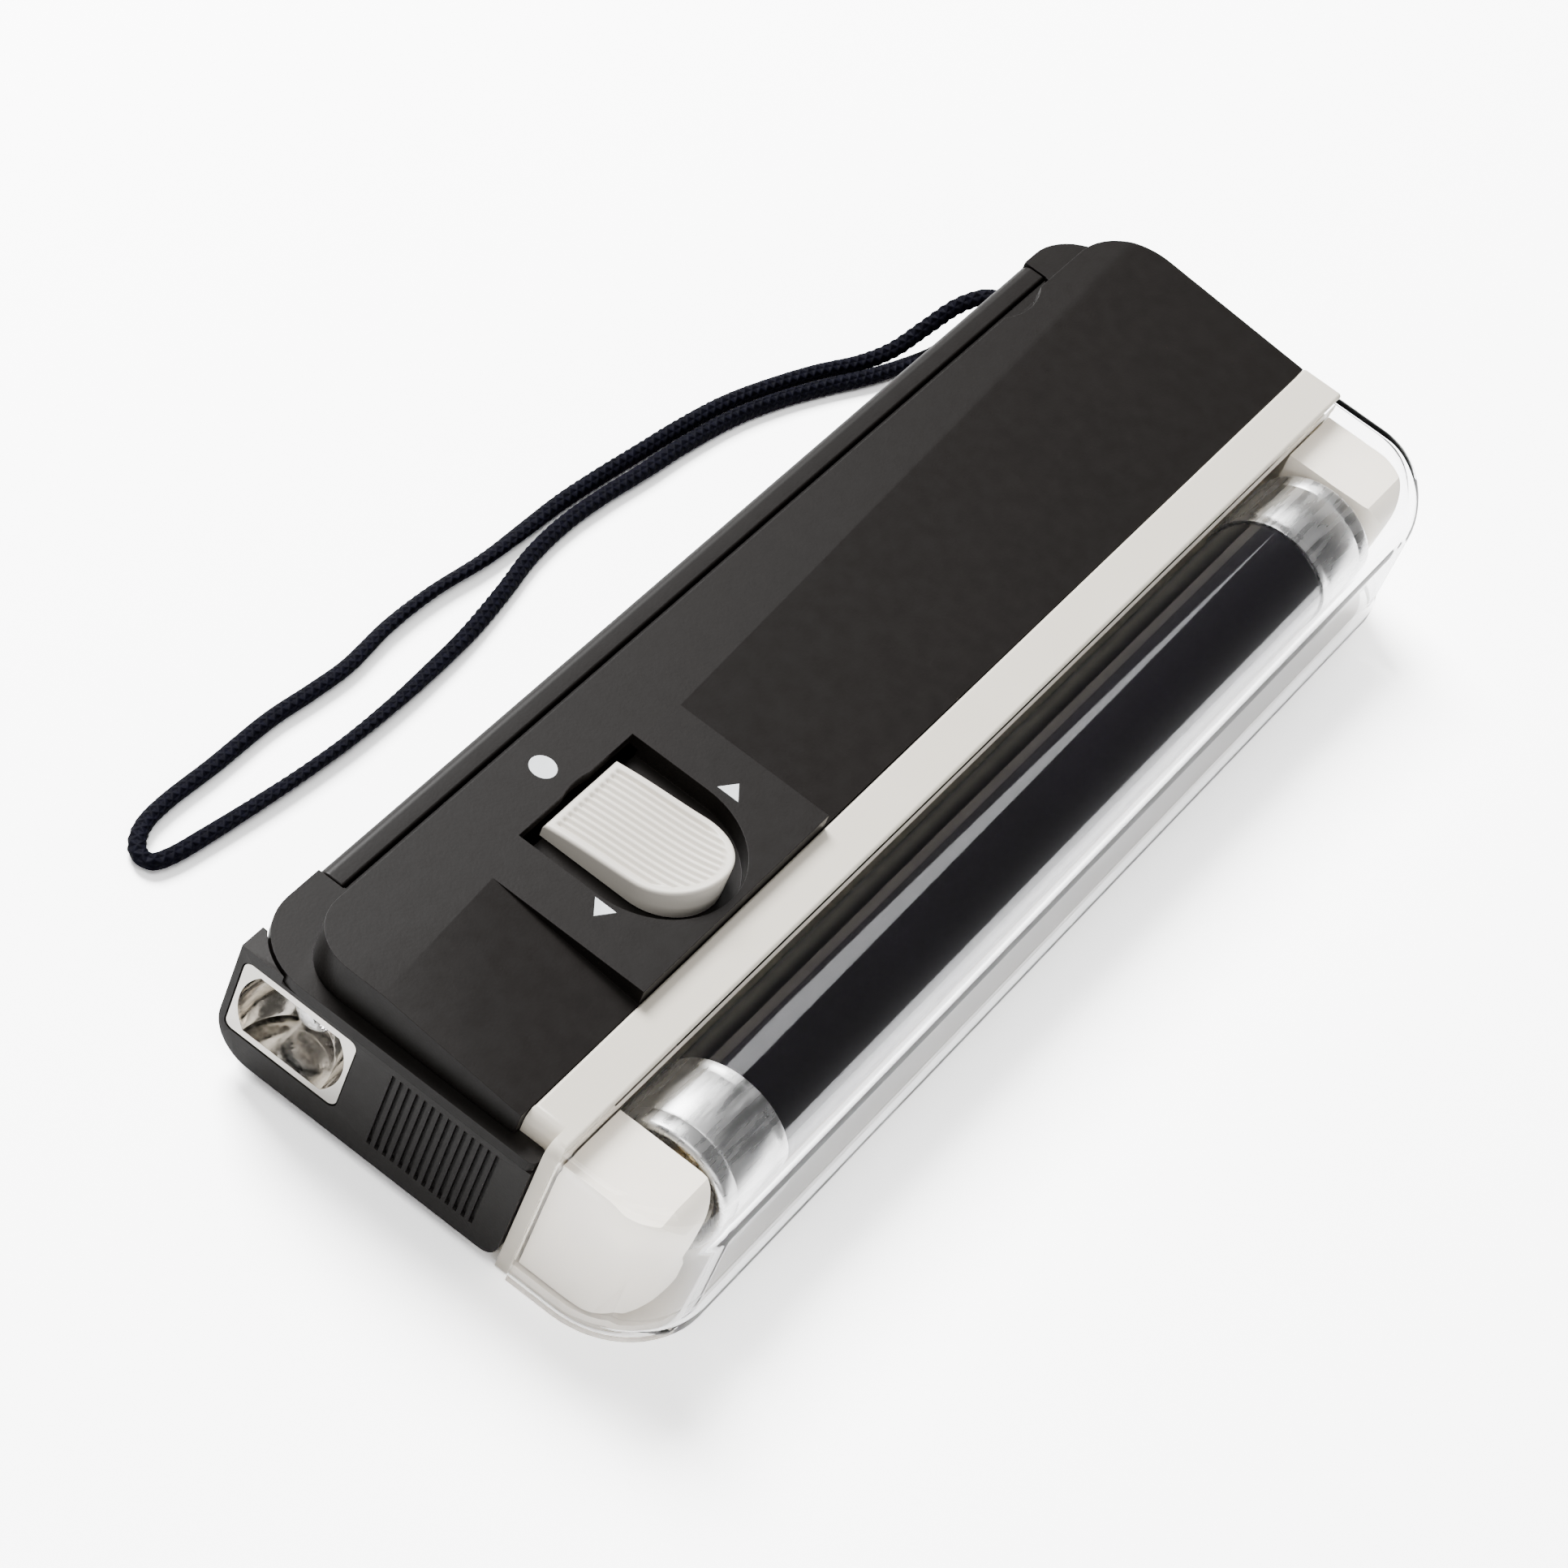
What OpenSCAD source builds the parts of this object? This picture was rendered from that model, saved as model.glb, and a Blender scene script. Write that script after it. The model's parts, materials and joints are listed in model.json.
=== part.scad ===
// Handheld ultraviolet banknote checker with a torch head and a wrist strap.
// Origin: bottom centre of the body. +X runs away from the torch, the lamp is on the
// -Y side, the battery door and the strap are on the +Y side, +Z is up.

/* [Body] */
// Overall length of the body
body_l = 160; // [158:1:164]
// Overall width of the body
body_w = 55.5; // [55:0.5:57]
// Height of the raised top
body_h = 22; // [22:0.5:24]
// Height of the lower rim round the raised top
rim_h = 17.2; // [17.2:0.1:17.6]
// Wall thickness of the black housing
wall = 1.6; // [1.4:0.1:1.8]
// Plan radius of the housing's corner beside the torch
near_r = 8; // [7:0.5:9]
// Plan radius of the housing's corner beside the strap
far_r = 7.5; // [6:0.5:9]
// Y of the face between the housing and the lamp frame
split_y = -5.5; // [-5.6:0.1:-5.4]

/* [Lamp] */
// Y of the lamp's axis
lamp_y = -17.8; // [-18:0.1:-17.6]
// Height of the lamp's axis
lamp_z = 10; // [9.8:0.1:10.2]
// Radius of the lamp's glass
glass_r = 7.65; // [7.3:0.05:7.7]
// Length of the lamp over its two metal caps
lamp_l = 135; // [132:1:136]
// Length of one metal cap
cap_l = 11.3; // [9:0.5:12]
// Height of the cream frame's top strip
frame_h = 20.2; // [20:0.1:20.4]
// Y of the strip's edge beside the clear cover
strip_y = -11; // [-11.2:0.1:-10.8]
// Height of the clear cover
cover_h = 20.5; // [20.3:0.1:20.8]
// Wall thickness of the clear cover
cover_wall = 1.2; // [1:0.1:1.3]

/* [Switch] */
// X of the middle of the switch
switch_x = -41.7; // [-43:0.1:-41]
// Travel of the switch knob to either side of off
switch_travel = 2.5; // [2:0.1:2.7]
// Width of the knob along its travel
knob_w = 13; // [12:0.5:13.5]
// Length of the knob across the housing
knob_l = 17.7; // [17:0.1:17.7]

/* [Torch] */
// Width of the reflector's bezel
bezel_w = 14.1; // [13:0.1:14.2]
// Height of the reflector's bezel
bezel_h = 10.1; // [9:0.1:10.2]
// Number of grip ribs beside the torch
rib_count = 15; // [10:1:15]

/* [Power] */
// Radius of one cell
cell_r = 7; // [6.8:0.1:7]
// Length of one cell over its terminals
cell_l = 50.2; // [49.5:0.1:50.3]

/* [Strap] */
// Diameter of the wrist cord
cord_d = 1.9; // [1.6:0.1:2]

/* [Hidden] */
$fn = 64;
eps = 0.01;
// Running gap between two mating pieces
gap = 0.15;

x0 = -body_l / 2;
x1 = body_l / 2;
y0 = -body_w / 2;
y1 = body_w / 2;
// Torch head plate
head_t = 2.4;
head_top = rim_h - 1.35;
corner_top = rim_h - 0.3;
head_bottom = 1.6;
head_y = -9.2;
bezel_y = 19.15;
bezel_z = 10.15;
box_y0 = 10.8;
box_y1 = 27.1;
box_back = x0 + 12;
// Raised top
plateau_x = x0 + 1.6;
plateau_y = 22.6;
plateau_z = rim_h + 0.1;
skirt_t = 1.5;
// Battery door
door_x0 = -66.8;
door_x1 = 69.9;
door_lip_y = 24.8;
rim_t = 1.4;
// Battery bay
bay_x0 = -38.6;
bay_x1 = 68.6;
bay_top = 16;
cell_z = wall + 0.2 + cell_r;
cell_ys = [2.7, 17.1];
// Electronics chamber
chamber_y = 23.4;
board_z = 6.6;
board_t = 1.2;
// Switch
recess_w = 20.2;
recess_z = 19.6;
recess_y = 15.1;
knob_y = 14.4;
stem_y = 7;
lug_x = switch_x - 4.6;
lug_half = 2.4;
slot_half = 2 + switch_travel;
// Places of the housing screws
screw_spots = [[-72.3, 3], [75, -1], [75, 14.5]];
// Strap slot
strap_x = 72;
slot_z0 = 2.6;
slot_z1 = 11.4;
// Cord route, from one end in the wall round the loop to the other end
cord_pts = [
  [72, 27.4, 8.8], [72, 29, 8.7], [71.2, 31, 8], [69, 32.9, 6.2], [65.5, 34.2, 3.9],
  [61.5, 35.5, 1.7], [57, 37.2, 1], [51, 39.9, 1], [44, 42.4, 1], [37.5, 44.2, 1],
  [30, 45.4, 1], [23, 46.2, 1], [16, 47, 1], [9, 47.6, 1], [2, 47.8, 1],
  [-5, 48.1, 1], [-13, 49, 1], [-21, 49.2, 1], [-29, 48.6, 1], [-35, 48.9, 1],
  [-42, 49.5, 1], [-51, 49.5, 1], [-59, 49.7, 1], [-63.5, 49.2, 1], [-66.2, 47.6, 1],
  [-66.3, 45.7, 1], [-63.8, 44.7, 1], [-59, 44, 1], [-54, 43.4, 1], [-46.5, 42.6, 1],
  [-38, 42, 1], [-30, 41.9, 1], [-23, 42.1, 1], [-15, 42.6, 1], [-7, 43.7, 1],
  [0, 44.9, 1], [7, 45.3, 1], [14, 44.9, 1], [21, 44.1, 1], [29, 43.3, 1],
  [37, 42, 1], [44, 40, 1], [50, 37.7, 1], [56, 35.1, 1], [61, 33.4, 1],
  [65.5, 32.1, 1.2], [69, 31.2, 2.4], [71.2, 30.2, 4.2], [72, 28.8, 5.1], [72, 27.4, 5.2]
];

// ---- helpers ------------------------------------------------------------------

// Rectangle with its low corner at p, size s, and a radius at each corner in r:
// [low x low y, high x low y, high x high y, low x high y]
module corner_rect(p, s, r) {
  difference() {
    translate(p) square(s);
    for (i = [0:3]) if (r[i] > 0) {
      right = (i == 1 || i == 2) ? 1 : 0;
      upper = i >= 2 ? 1 : 0;
      cx = p[0] + (right ? s[0] - r[i] : r[i]);
      cy = p[1] + (upper ? s[1] - r[i] : r[i]);
      difference() {
        translate([right ? cx : cx - r[i] - 1, upper ? cy : cy - r[i] - 1])
          square([r[i] + 1, r[i] + 1]);
        translate([cx, cy]) circle(r[i], $fn = 96);
      }
    }
  }
}

// Extrude an XY outline from z = a to z = b
module slab(a, b) {
  translate([0, 0, a]) linear_extrude(b - a) children();
}

// Extrude a YZ outline along X from x = a to x = b
module along_x(a, b) {
  translate([a, 0, 0]) rotate([90, 0, 90]) linear_extrude(b - a) children();
}

// Extrude an XZ outline along Y from y = a to y = b
module along_y(a, b) {
  translate([0, b, 0]) rotate([90, 0, 0]) linear_extrude(b - a) children();
}

// Box between two corners
module box(a, b) {
  translate(a) cube(b - a);
}

// Unit vector
function unit(v) = v / norm(v);

// Rings of a tube along a list of points
function tangent(p, i) =
  unit(p[min(i + 1, len(p) - 1)] - p[max(i - 1, 0)]);

function ring(c, t, r, sides) =
  let (
    s = unit(cross(t, abs(t[2]) > 0.9 ? [1, 0, 0] : [0, 0, 1])),
    u = cross(s, t)
  )
  [for (k = [0:sides - 1]) c + r * (cos(360 * k / sides) * s + sin(360 * k / sides) * u)];

module tube_along(p, r, sides = 8) {
  n = len(p);
  points = [for (i = [0:n - 1]) each ring(p[i], tangent(p, i), r, sides)];
  walls = [
    for (i = [0:n - 2]) for (k = [0:sides - 1])
      let (a = i * sides + k, b = i * sides + (k + 1) % sides)
      [a, b, b + sides, a + sides]
  ];
  near_end = [for (k = [sides - 1:-1:0]) k];
  far_end = [for (k = [0:sides - 1]) (n - 1) * sides + k];
  polyhedron(points, concat(walls, [near_end], [far_end]));
}

// ---- outlines -----------------------------------------------------------------

module housing_outline() {
  corner_rect([x0, split_y], [body_l, y1 - split_y], [0, 0, far_r, near_r]);
}

module plateau_outline(inset = 0) {
  corner_rect(
    [plateau_x + inset, split_y + inset],
    [x1 - plateau_x - 2 * inset, plateau_y - split_y - 2 * inset],
    [0, 0, 8 - inset, 6 - inset]
  );
}

// D-shaped outline: square at the strap side, round at the lamp side
module switch_outline(w, y_top, l) {
  r = w / 2;
  translate([-r, y_top - l + r]) square([w, l - r]);
  translate([0, y_top - l + r]) circle(r, $fn = 96);
}

// ---- upper cover --------------------------------------------------------------

// Slab above a plane that holds the ridge line and falls towards the lamp
module scoop(xa, xb, ridge_a, ridge_b) {
  fall = atan2(body_h - frame_h + 0.1, (ridge_a + ridge_b) / 2 - split_y);
  turn = atan2(ridge_b - ridge_a, xb - xa);
  intersection() {
    box([xa, split_y - 2, 15], [xb, plateau_y + 2, body_h + 5]);
    translate([xa, ridge_a, body_h]) rotate([0, 0, turn]) rotate([fall, 0, 0])
      translate([-20, -50, 0]) cube([body_l + 20, 50, 6]);
  }
}

module mark_outlines() {
  translate([switch_x - 0.9, 18.8]) circle(1.55);
  translate([switch_x + 11.2, 3.5]) polygon([[0, -1.4], [2.2, 0], [0, 1.4]]);
  translate([switch_x - 10.5, 3.7]) polygon([[0, -1.4], [-2.2, 0], [0, 1.4]]);
}

module upper_cover() color([0.10, 0.10, 0.105]) {
  difference() {
    slab(plateau_z, body_h) plateau_outline();
    scoop(plateau_x - 1, switch_x - 16.6, 12.2, 13.6);
    scoop(switch_x + 17.3, x1 + 1, 14, 19.2);
    slab(plateau_z - 1, frame_h - 1.6) plateau_outline(skirt_t);
    intersection() {
      slab(plateau_z - 1, body_h - 1.5) plateau_outline(skirt_t);
      box([x0, 14, 0], [x1, y1, body_h]);
    }
    slab(recess_z, body_h + 1)
      translate([switch_x, 0]) switch_outline(recess_w, recess_y, 19.9);
    box([switch_x - slot_half, stem_y - 2.2, plateau_z], [switch_x + slot_half, stem_y + 2.2, recess_z + 1]);
    slab(body_h - 0.1, body_h + 1) mark_outlines();
    translate([58.5, plateau_y + 6.9, plateau_z + 2.2]) cylinder(r = 8, h = 10);
  }
  for (p = screw_spots) difference() {
    translate([p[0], p[1], plateau_z]) cylinder(r = 2.4, h = frame_h - 1.5 - plateau_z);
    translate([p[0], p[1], plateau_z - 1]) cylinder(r = 1.1, h = 2.2);
  }
}

// ---- lower shell --------------------------------------------------------------

module lower_shell() color([0.09, 0.09, 0.095]) {
  difference() {
    union() {
      intersection() {
        slab(0, rim_h) housing_outline();
        box([x0 + head_t + gap, y0, -1], [x1 + 1, y1 + 1, rim_h + 1]);
      }
      // Rim over the torch head, with its end beside the cream frame
      intersection() {
        slab(head_top, rim_h) housing_outline();
        box([x0, split_y, 0], [x0 + 6, y1 + 1, rim_h + 1]);
      }
      slab(head_top, rim_h)
        corner_rect([x0, head_y], [head_t + 0.1, split_y - head_y + 1], [0.8, 0.8, 0, 0]);
    }
    // Electronics chamber, open to the upper cover
    slab(wall + 1.2, 15.7)
      corner_rect([x0 + 4, split_y + 0.9], [bay_x0 - wall - x0 - 4, chamber_y - split_y - 0.9],
        [0, 0, 0, 5]);
    slab(15.6, rim_h + 1)
      corner_rect([x0 + 4, split_y + 0.9], [bay_x0 - wall - x0 - 4, 21.7 - split_y - 0.9],
        [0, 0, 0, 5]);
    // Battery bay, open below and at the strap side
    box([bay_x0, split_y + 0.9, wall], [bay_x1, y1 + 1, bay_top]);
    box([bay_x0, -3.2, -1], [bay_x1, y1 + 1, bay_top]);
    // Room for the door: bottom, strap side and rim
    box([door_x0 - gap, -3.2, -1], [door_x1 + gap, y1 + 1, wall + 0.2]);
    box([door_x0 - gap, door_lip_y - 0.2, -1], [door_x1 + gap, y1 + 1, rim_h + 1]);
    // Groove between the rim and the raised top
    box([door_x0, plateau_y, rim_h - 0.5], [door_x1, door_lip_y, rim_h + 1]);
    // Far chamber, which holds the strap's end
    box([door_x1 + 0.6, split_y + wall, wall], [x1 - wall, 20.9, 15.7]);
    intersection() {
      slab(15.6, rim_h + 1) plateau_outline(skirt_t + 0.3);
      box([door_x1 + 0.6, split_y + wall, wall], [x1 - wall, 20.9, rim_h + 1]);
    }
    box([door_x1 + 0.6, 20, wall], [x1 - 4, y1 - 2.1, rim_h - 1.4]);
    // Strap slot
    box([strap_x - 1.6, y1 - 4, slot_z0], [strap_x + 1.6, y1 + 1, slot_z1]);
    // Torch box
    box([x0 - 1, box_y0 - gap, 3.8], [box_back + gap, y1 + 1, head_top]);
    // Screws, with their heads sunk from below
    for (p = screw_spots) {
      translate([p[0], p[1], -1]) cylinder(r = 2.3, h = 2);
      translate([p[0], p[1], -1]) cylinder(r = 1.35, h = rim_h + 3);
    }
  }
  // Screw pillars
  for (p = screw_spots) difference() {
    translate([p[0], p[1], 0.9]) cylinder(r = 2.4, h = rim_h - 0.9);
    translate([p[0], p[1], -1]) cylinder(r = 2.3, h = 2);
    translate([p[0], p[1], 0]) cylinder(r = 1.35, h = rim_h + 1);
  }
}

// ---- battery door -------------------------------------------------------------

module battery_door() color([0.11, 0.11, 0.115]) {
  along_x(door_x0, door_x1) difference() {
    corner_rect([-3, 0], [y1 + 3, rim_h], [0, 2, 1.2, 0]);
    translate([-4, wall]) square([y1 + 4 - wall, rim_h - wall - rim_t]);
    translate([-4, rim_h - rim_t - eps]) square([door_lip_y + 4, 3]);
  }
  // Finger ridges near the strap end
  for (i = [0:7])
    box([50 + 2 * i, y1 - 0.6, 4], [50.8 + 2 * i, y1, 13]);
}

// ---- torch head ---------------------------------------------------------------

module head_outline() {
  corner_rect([head_y, head_bottom], [box_y1 - head_y, head_top - head_bottom],
    [1.8, 5, 0, 0]);
}

module torch_head() color([0.12, 0.12, 0.125]) {
  pitch = 13.9 / (rib_count - 1);
  difference() {
    union() {
      along_x(x0 + 0.5, x0 + head_t) head_outline();
      along_x(x0, x0 + head_t) difference() {
        head_outline();
        // Grooves that leave the grip ribs between them
        for (i = [0:rib_count - 2])
          translate([-6 + i * pitch + 0.27, 4]) square([pitch - 0.54, 11]);
      }
      // Box round the reflector
      along_x(x0 + head_t - eps, box_back)
        corner_rect([box_y0, 4], [15.6, head_top - 4], [1, 1, 0, 0]);
      // Square corner that stands outside the housing's rounded corner
      difference() {
        along_x(x0, x0 + 3.3)
          corner_rect([box_y1 - 8, 4], [8, corner_top - 4], [0, 3, 0, 0]);
        slab(head_top, rim_h + 1) housing_outline();
        slab(head_top, rim_h + 1) translate([-0.25, 0.1]) housing_outline();
      }
    }
    along_x(x0 - 1, box_back + 1)
      corner_rect([bezel_y - bezel_w / 2 - gap, bezel_z - bezel_h / 2 - gap],
        [bezel_w + 2 * gap, bezel_h + 2 * gap], [1.1, 1.1, 1.1, 1.1]);
  }
}

module torch_reflector() color([0.85, 0.85, 0.87]) {
  difference() {
    along_x(x0 + 0.1, x0 + 9.5)
      corner_rect([bezel_y - bezel_w / 2, bezel_z - bezel_h / 2], [bezel_w, bezel_h],
        [1, 1, 1, 1]);
    intersection() {
      translate([x0, bezel_y, bezel_z]) rotate([0, 90, 0]) rotate_extrude($fn = 96)
        polygon(concat(
          [[0, -1], [6.5, -1]],
          [for (t = [0:0.1:1]) [6.5 - 3.7 * t * t, 8.4 * t]],
          [[2.8, 12], [0, 12]]
        ));
      box([x0 - 1, bezel_y - 8, bezel_z - 4.2], [x0 + 8.4, bezel_y + 8, bezel_z + 4.2]);
    }
    translate([x0, bezel_y, bezel_z]) rotate([0, 90, 0]) cylinder(r = 2.7, h = 12);
  }
}

module torch_bulb() color([0.85, 0.88, 0.9]) {
  translate([x0, bezel_y, bezel_z]) rotate([0, 90, 0]) rotate_extrude($fn = 64)
    polygon(concat(
      [[0, 11.5], [2.5, 11.5], [2.5, 5.2]],
      [for (a = [10:10:90]) [2.5 * cos(a), 5.2 - 2.5 * sin(a)]]
    ));
}

module torch_socket() color([0.75, 0.75, 0.72]) {
  difference() {
    translate([x0 + 9.7, bezel_y, bezel_z]) rotate([0, 90, 0]) cylinder(r = 4.2, h = 3.4);
    translate([x0 + 9, bezel_y, bezel_z]) rotate([0, 90, 0]) cylinder(r = 2.7, h = 2.6);
  }
}

// ---- lamp side ----------------------------------------------------------------

// Waste outside a rounded upper edge that starts at x and runs from y = a to y = b
module frame_round(x, a, b) {
  r = 1.6;
  difference() {
    box([x - 0.1, a, frame_h - r], [x + r, b, frame_h + 1]);
    translate([x + r, a - 1, frame_h - r]) rotate([-90, 0, 0]) cylinder(r = r, h = b - a + 2);
  }
}

module lamp_frame() color([0.87, 0.86, 0.82]) {
  frame_x0 = x0 + 0.6;
  frame_x1 = x1 - 0.2;
  difference() {
    union() {
      // Top strip, back wall and lip
      along_x(frame_x0, frame_x1) {
        corner_rect([strip_y, frame_h - 1.5], [split_y - 0.1 - strip_y, 1.5], [0, 0, 0.4, 0.4]);
        translate([split_y - 1.5, 0.2]) square([1.4, frame_h - 1]);
        translate([strip_y, 17]) square([1, frame_h - 18]);
        // Tray under the lamp
        translate([-25.6, 0.2]) square([split_y - 0.2 + 25.6, 1.4]);
      }
      // End walls beside the torch head and at the far end
      box([frame_x0, -10.9, 0.2], [frame_x0 + 3.2, split_y - 0.1, frame_h - 0.2]);
      box([frame_x1 - 1.4, -10.9, 0.2], [frame_x1, split_y - 0.1, frame_h - 0.2]);
    }
    // Clearance round the torch head
    box([x0 - 1, head_y - 0.2, -1], [x0 + head_t + gap, 0, frame_h + 1]);
    // Rounded upper edges of the two steps at the torch end
    frame_round(frame_x0, -12, head_y - 0.2);
    frame_round(x0 + head_t + gap, head_y - 0.2, 0);
    // Tray stays inside the clear cover's ends
    box([x0 - 1, -30, -1], [x0 + 1.5, -10.9, 5]);
    box([x1 - 1.6, -30, -1], [x1 + 1, -10.9, 5]);
    // Rounded corners of the tray
    for (s = [0, 1]) mirror([s, 0, 0]) difference() {
      box([x0, -26, -1], [x0 + 10.1, -17, 3]);
      translate([x0 + 10.1, -17, -1]) cylinder(r = 8.6, h = 4);
    }
  }
}

// Space inside a shell that is inset by t from the clear cover's outside
module cover_form(t, low, top) {
  r_side = 7 - t;
  r_end = 2 - t;
  intersection() {
    slab(low, top)
      corner_rect([x0 + t, y0 + 0.45 + t], [body_l - 2 * t, strip_y - 0.2 - y0 - 0.45 - t],
        [10.5 - t, 7.5 - t, 0, 0]);
    along_x(x0 - 1, x1 + 1)
      corner_rect([y0 + 0.45 + t, -8], [30, top + 8], [0, 0, 0, r_side]);
    along_y(y0 - 1, 0)
      corner_rect([x0 + t, -8], [body_l - 2 * t, top + 8], [0, 0, r_end, r_end]);
  }
}

module tube_cover() color([0.85, 0.9, 0.95, 0.35]) {
  difference() {
    union() {
      cover_form(0, 0.1, cover_h);
      // Foot flange
      slab(0.1, 2)
        corner_rect([x0, y0], [body_l, strip_y - 0.2 - y0], [10.9, 7.9, 0, 0]);
    }
    cover_form(cover_wall, -1, cover_h - cover_wall);
    slab(-1, 3)
      corner_rect([x0 + cover_wall, y0 + 0.45 + cover_wall],
        [body_l - 2 * cover_wall, 16.5], [9.3, 6.3, 0, 0]);
    box([x0 + cover_wall, strip_y - 1.2, -1], [x1 - cover_wall, strip_y + 1, cover_h - cover_wall]);
  }
}

module uv_tube() color([0.08, 0.05, 0.12]) {
  half = lamp_l / 2 - 1.3;
  difference() {
    translate([-half, lamp_y, lamp_z]) rotate([0, 90, 0]) cylinder(r = glass_r, h = 2 * half);
    translate([-half - 1, lamp_y, lamp_z]) rotate([0, 90, 0])
      cylinder(r = glass_r - 0.7, h = 2 * half + 2);
  }
}

// Metal cap with its closed face at the lamp's end
module tube_cap() {
  translate([-lamp_l / 2, lamp_y, lamp_z]) rotate([0, 90, 0]) difference() {
    cylinder(r = 7.95, h = cap_l);
    translate([0, 0, 1.2]) cylinder(r = glass_r + 0.05, h = cap_l);
    for (s = [-1, 1]) translate([s * 2.4, 0, -1]) cylinder(r = 1.2, h = 4);
  }
}

module tube_cap_near() color([0.8, 0.8, 0.81]) tube_cap();
module tube_cap_far() color([0.8, 0.8, 0.81]) mirror([1, 0, 0]) tube_cap();

module tube_pins() color([0.8, 0.68, 0.4]) {
  for (m = [0, 1]) mirror([m, 0, 0]) for (s = [-1, 1])
    translate([-lamp_l / 2 - 6.6, lamp_y, lamp_z + s * 2.4]) rotate([0, 90, 0])
      cylinder(r = 1.15, h = 8.4, $fn = 32);
}

module lamp_holder() {
  hx0 = x0 + 2;
  hx1 = -lamp_l / 2 - 1;
  difference() {
    slab(1.8, 17.4) corner_rect([hx0, -24.2], [hx1 - hx0, strip_y - 0.3 + 24.2], [6, 3, 0, 0]);
    // Rounded lower outer edge
    difference() {
      box([hx0 - 1, -25, 1], [hx1 + 1, -18.4, 7.8]);
      translate([hx0 - 1, -18.4, 7.8]) rotate([0, 90, 0]) cylinder(r = 6, h = 20);
    }
    // Rounded upper outer edge
    difference() {
      box([hx0 - 1, -25, 13.2], [hx1 + 1, -19.4, 19]);
      translate([hx0 - 1, -19.4, 13.2]) rotate([0, 90, 0]) cylinder(r = 5, h = 20);
    }
    // Slot that takes the pins
    box([-lamp_l / 2 - 7, lamp_y - 1.35, lamp_z - 4], [hx1 + 1, lamp_y + 1.35, lamp_z + 4]);
    // Hollow that clears the cap's rim
    translate([hx1 - 1.6, lamp_y, lamp_z]) rotate([0, 90, 0]) cylinder(r = 5.6, h = 3);
  }
}

module lamp_holder_near() color([0.86, 0.85, 0.81]) lamp_holder();
module lamp_holder_far() color([0.86, 0.85, 0.81]) mirror([1, 0, 0]) lamp_holder();

// ---- switch -------------------------------------------------------------------

// Side profile of the knob's top, from the strap end to the round end
function knob_top(t) = 21.4 + 1.0 * sin(180 * t) * (1 - t) + 3.0 * pow(t, 2.6);

module switch_knob() color([0.86, 0.85, 0.81]) {
  steps = 24;
  ridge_n = 14;
  intersection() {
    slab(recess_z + 0.1, 30)
      translate([switch_x, 0]) switch_outline(knob_w, knob_y, knob_l);
    along_x(switch_x - 10, switch_x + 10)
      polygon(concat(
        [[knob_y, 18]],
        [for (i = [0:steps]) [knob_y - knob_l * i / steps, knob_top(i / steps)]],
        [[knob_y - knob_l, 18]]
      ));
  }
  // Stem through the slot in the recess floor
  box([switch_x - 1.6, stem_y - 2, 17.8], [switch_x + 1.6, stem_y + 2, recess_z + 0.3]);
  // Grip ridges along the knob
  for (i = [0:ridge_n - 1]) {
    rx = switch_x - 5 + 10 * i / (ridge_n - 1);
    reach = sqrt(25.5 - pow(rx - switch_x, 2));
    intersection() {
      box([rx - 0.2, knob_y - knob_l + 6.4 - reach + 0.6, 20.5], [rx + 0.2, knob_y - 0.8, 30]);
      along_x(switch_x - 10, switch_x + 10)
        polygon(concat(
          [[knob_y, 18]],
          [for (i = [0:steps]) [knob_y - knob_l * i / steps, knob_top(i / steps) + 0.22]],
          [[knob_y - knob_l, 18]]
        ));
    }
  }
}

module switch_slider() color([0.85, 0.83, 0.75]) {
  // Lug that reaches down into the switch
  box([lug_x - lug_half, stem_y - 3, 13.2], [lug_x + lug_half, stem_y + 3, 17.5]);
  // Plate over the battery bay, with a socket for the knob's stem
  difference() {
    box([lug_x - lug_half, stem_y - 3, rim_h + 0.25], [switch_x + 3, stem_y + 3, frame_h - 1.8]);
    box([switch_x - 1.7, stem_y - 2.1, 17.8], [switch_x + 1.7, stem_y + 2.1, 19]);
  }
}

module switch_body() color([0.7, 0.71, 0.72]) {
  difference() {
    box([-53, stem_y - 5, board_z + board_t], [bay_x0 - wall - 0.2, stem_y + 5, 15]);
    box([-52.2, stem_y - 3.2, 13], [bay_x0 - wall - 0.6, stem_y + 3.2, 16]);
  }
}

// ---- electronics --------------------------------------------------------------

module circuit_board() color([0.55, 0.42, 0.2]) {
  difference() {
    box([-65.5, -3.6, board_z], [bay_x0 - wall - 0.3, chamber_y - 0.4, board_z + board_t]);
    for (p = [[-63, 2.8], [-63, 20], [-43, 20]])
      translate([p[0], p[1], board_z - 1]) cylinder(r = 1.1, h = 4);
  }
}

module transformer() color([0.25, 0.24, 0.23]) {
  difference() {
    union() {
      box([-60, 9.4, board_z + board_t], [-55.4, 21.4, 15.4]);
      box([-62.4, 11.4, board_z + board_t + 1.4], [-53.4, 19.4, 14.8]);
    }
    box([-61, 13.7, 6], [-54.4, 17.1, board_z + board_t + 0.9]);
  }
}

module transistor() color([0.12, 0.12, 0.12]) {
  box([-64, -1.5, board_z + board_t + 3], [-61, 3, board_z + board_t + 7.4]);
  for (i = [-1:1])
    translate([-62.5, 0.75 + 1.3 * i, board_z + board_t])
      cylinder(r = 0.25, h = 3.1, $fn = 12);
}

module capacitors() color([0.5, 0.25, 0.12]) {
  translate([-57, 3, board_z + board_t]) cylinder(r = 2.5, h = 7.6);
  box([-60.6, -2.6, board_z + board_t], [-54, -0.4, board_z + board_t + 5.6]);
}

// ---- cells --------------------------------------------------------------------

function cell_x(i) = bay_x0 + 4.2 + (i % 2) * (cell_l + 0.2) + cell_l / 2;
function cell_y(i) = cell_ys[floor(i / 2)];
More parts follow.
